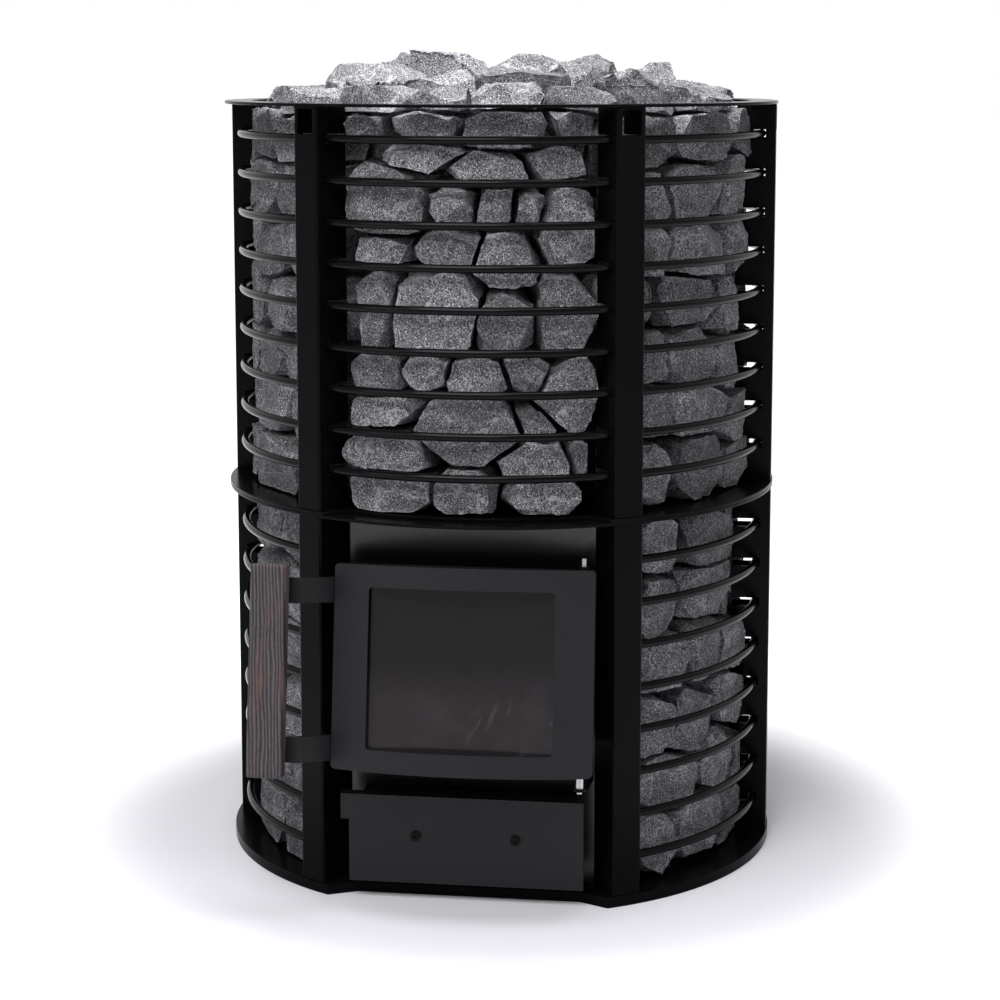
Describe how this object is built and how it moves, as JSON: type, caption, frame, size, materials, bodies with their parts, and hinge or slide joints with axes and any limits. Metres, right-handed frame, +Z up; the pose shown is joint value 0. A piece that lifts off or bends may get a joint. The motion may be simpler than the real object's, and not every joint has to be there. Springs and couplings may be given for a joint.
{
  "type": "sauna heater stove",
  "caption": "Round wood-burning sauna stove: rod cage full of stones around a steel firebox, with a leaning glass door, a wooden handle and an ash drawer.",
  "frame": {"origin": "on the floor, at the axis of the round cage", "axes": "+Z up along the flue, -Y out of the fire door, +X towards the door's hinge"},
  "size_m": [0.56, 0.6064, 0.8134],
  "materials": {
    "black_coat": "satin black heat-proof powder coat",
    "door_coat": "matt black heat-proof paint, a shade lighter",
    "bare_steel": "dark mill-finish boiler plate",
    "zinc": "bright zinc plate",
    "black_screw": "black oxide button-head screw",
    "cast_iron": "as cast",
    "fire_brick": "vermiculite board",
    "glass": "clear ceramic glass in front of a dark firebox",
    "gasket": "braided glass-fibre rope",
    "charred_wood": "charred and brushed",
    "stone": "broken grey igneous rock with pale specks"
  },
  "bodies": {
    "root": {"base_plate": "black_coat", "door_throat": "bare_steel", "drawer_channel": "black_coat", "drawer_runners": "bare_steel", "fire_brick_left": "fire_brick", "fire_brick_rear": "fire_brick", "fire_brick_right": "fire_brick", "fire_grate": "cast_iron", "firebox_drum": "bare_steel", "firebox_floor": "bare_steel", "firebox_roof": "bare_steel", "flue_collar": "bare_steel", "front_shield": "black_coat", "grate_support": "cast_iron", "hinge_lugs": "black_coat", "hinge_pin": "zinc", "hinge_spacer": "zinc", "levelling_nuts": "zinc", "levelling_screws": "zinc", "lower_hoops": "black_coat", "lower_post_front_left": "black_coat", "lower_post_front_right": "black_coat", "lower_post_left": "black_coat", "lower_post_rear_left": "black_coat", "lower_post_rear_right": "black_coat", "lower_post_right": "black_coat", "lower_ring": "black_coat", "smoke_baffle": "cast_iron", "stone_shelf": "black_coat", "stones_core": "stone", "stones_lower_left": "stone", "stones_lower_rear_left": "stone", "stones_lower_rear_right": "stone", "stones_lower_right": "stone", "stones_top": "stone", "stones_upper_front": "stone", "stones_upper_left": "stone", "stones_upper_rear_left": "stone", "stones_upper_rear_right": "stone", "stones_upper_right": "stone", "top_ring": "black_coat", "upper_hoops": "black_coat", "upper_post_front_left": "black_coat", "upper_post_front_right": "black_coat", "upper_post_left": "black_coat", "upper_post_rear_left": "black_coat", "upper_post_rear_right": "black_coat", "upper_post_right": "black_coat"},
    "fire_door": {"door_shell": "door_coat", "glass_retainer": "door_coat", "door_glass": "glass", "door_gasket": "gasket", "handle_strap_upper": "door_coat", "handle_strap_lower": "door_coat", "handle_grip": "charred_wood", "grip_screws": "zinc"},
    "ash_drawer": {"ash_tray": "bare_steel", "drawer_front": "door_coat", "drawer_screws": "black_screw"}
  },
  "joints": [
    {"name": "door_hinge", "type": "hinge", "parent": "root", "child": "fire_door", "pos_m": [0.112, -0.26194, 0.23278], "axis": [0, 0.1564, 0.9877], "range_deg": [0, 120]},
    {"name": "drawer_slide", "type": "slide", "parent": "root", "child": "ash_drawer", "axis": [0, -1, 0], "range_m": [0, 0.28]}
  ]
}
